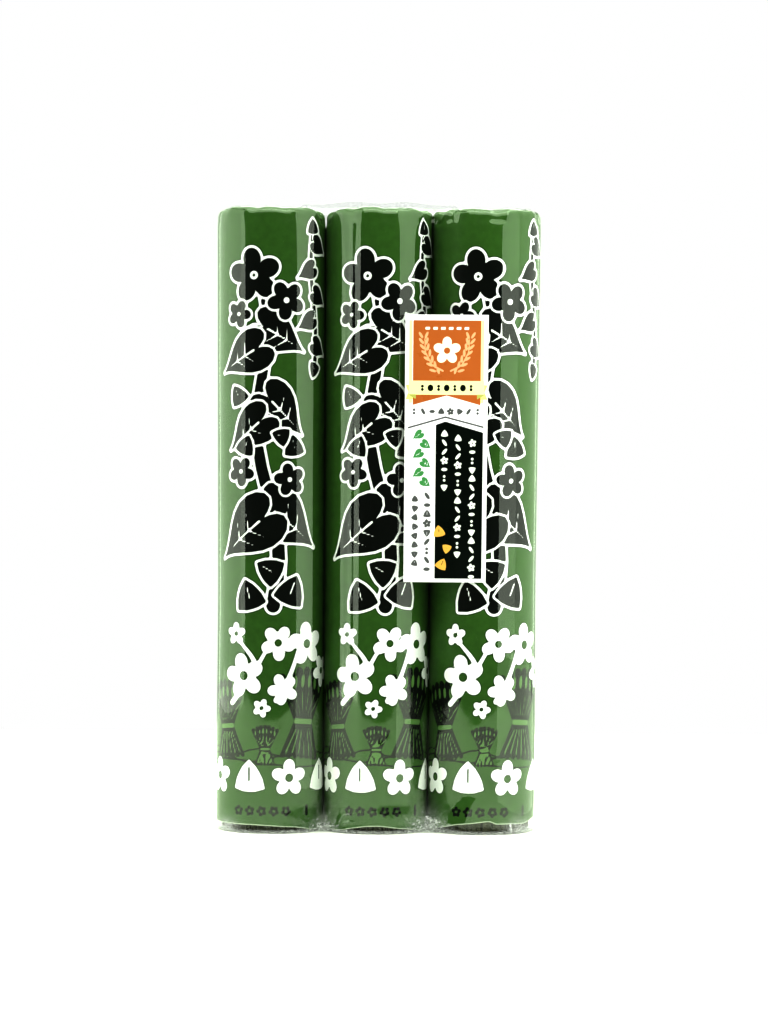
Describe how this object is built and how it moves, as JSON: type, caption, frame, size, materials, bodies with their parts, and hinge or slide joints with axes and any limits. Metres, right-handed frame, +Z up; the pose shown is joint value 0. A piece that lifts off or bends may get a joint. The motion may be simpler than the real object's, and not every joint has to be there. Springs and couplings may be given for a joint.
{
  "type": "dried soba noodle pack",
  "caption": "Dried soba noodles in round bundles, each wrapped in printed green paper, side by side in a tight clear film pack with a sticker on its front.",
  "frame": {"origin": "centre of the pack's box, on the surface it stands on", "axes": "+Z up along the noodles, +X across the three rolls to the right as seen from the printed front, +Y towards the back"},
  "size_m": [0.1006, 0.0348, 0.1956],
  "materials": {
    "film": "clear glossy film",
    "label": "glossy printed sticker",
    "paper": "printed paper with a satin varnish",
    "noodle": "dry matte"
  },
  "bodies": {
    "root": {"film": "film", "label": "label", "paper_left": "paper", "paper_middle": "paper", "paper_right": "paper", "noodles_left": "noodle", "noodles_middle": "noodle", "noodles_right": "noodle"}
  },
  "joints": []
}
